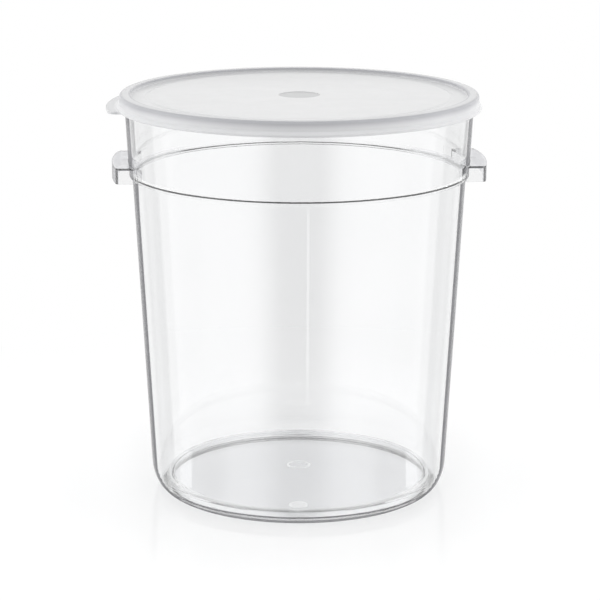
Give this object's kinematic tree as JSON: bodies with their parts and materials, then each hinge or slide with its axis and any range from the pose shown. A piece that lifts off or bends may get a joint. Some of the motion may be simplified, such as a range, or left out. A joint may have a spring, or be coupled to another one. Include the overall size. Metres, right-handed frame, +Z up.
{
  "type": "dough proofing container",
  "caption": "Round clear food container, slightly tapered, with a stepped collar, a hood handle on each side and a milky press-fit lid with a pull tab.",
  "frame": {"origin": "on the container's vertical axis, at the level of the ring it stands on", "axes": "+Z up along the container's axis; the handles lie on +X and -X; -Y is the side the picture shows; the lid's pull tab lies at -X, turned 3.8 degrees towards +Y"},
  "size_m": [0.3553, 0.341, 0.38],
  "materials": {
    "clear_body": "clear polycarbonate, polished, colourless",
    "milky_lid": "milky white translucent polyethylene, satin gloss"
  },
  "bodies": {
    "container": {"container": "clear_body"},
    "lid": {"lid": "milky_lid"}
  },
  "joints": [
    {"name": "lid_lift", "type": "slide", "parent": "container", "child": "lid", "axis": [0, 0, 1], "range_m": [0, 0.15]}
  ]
}
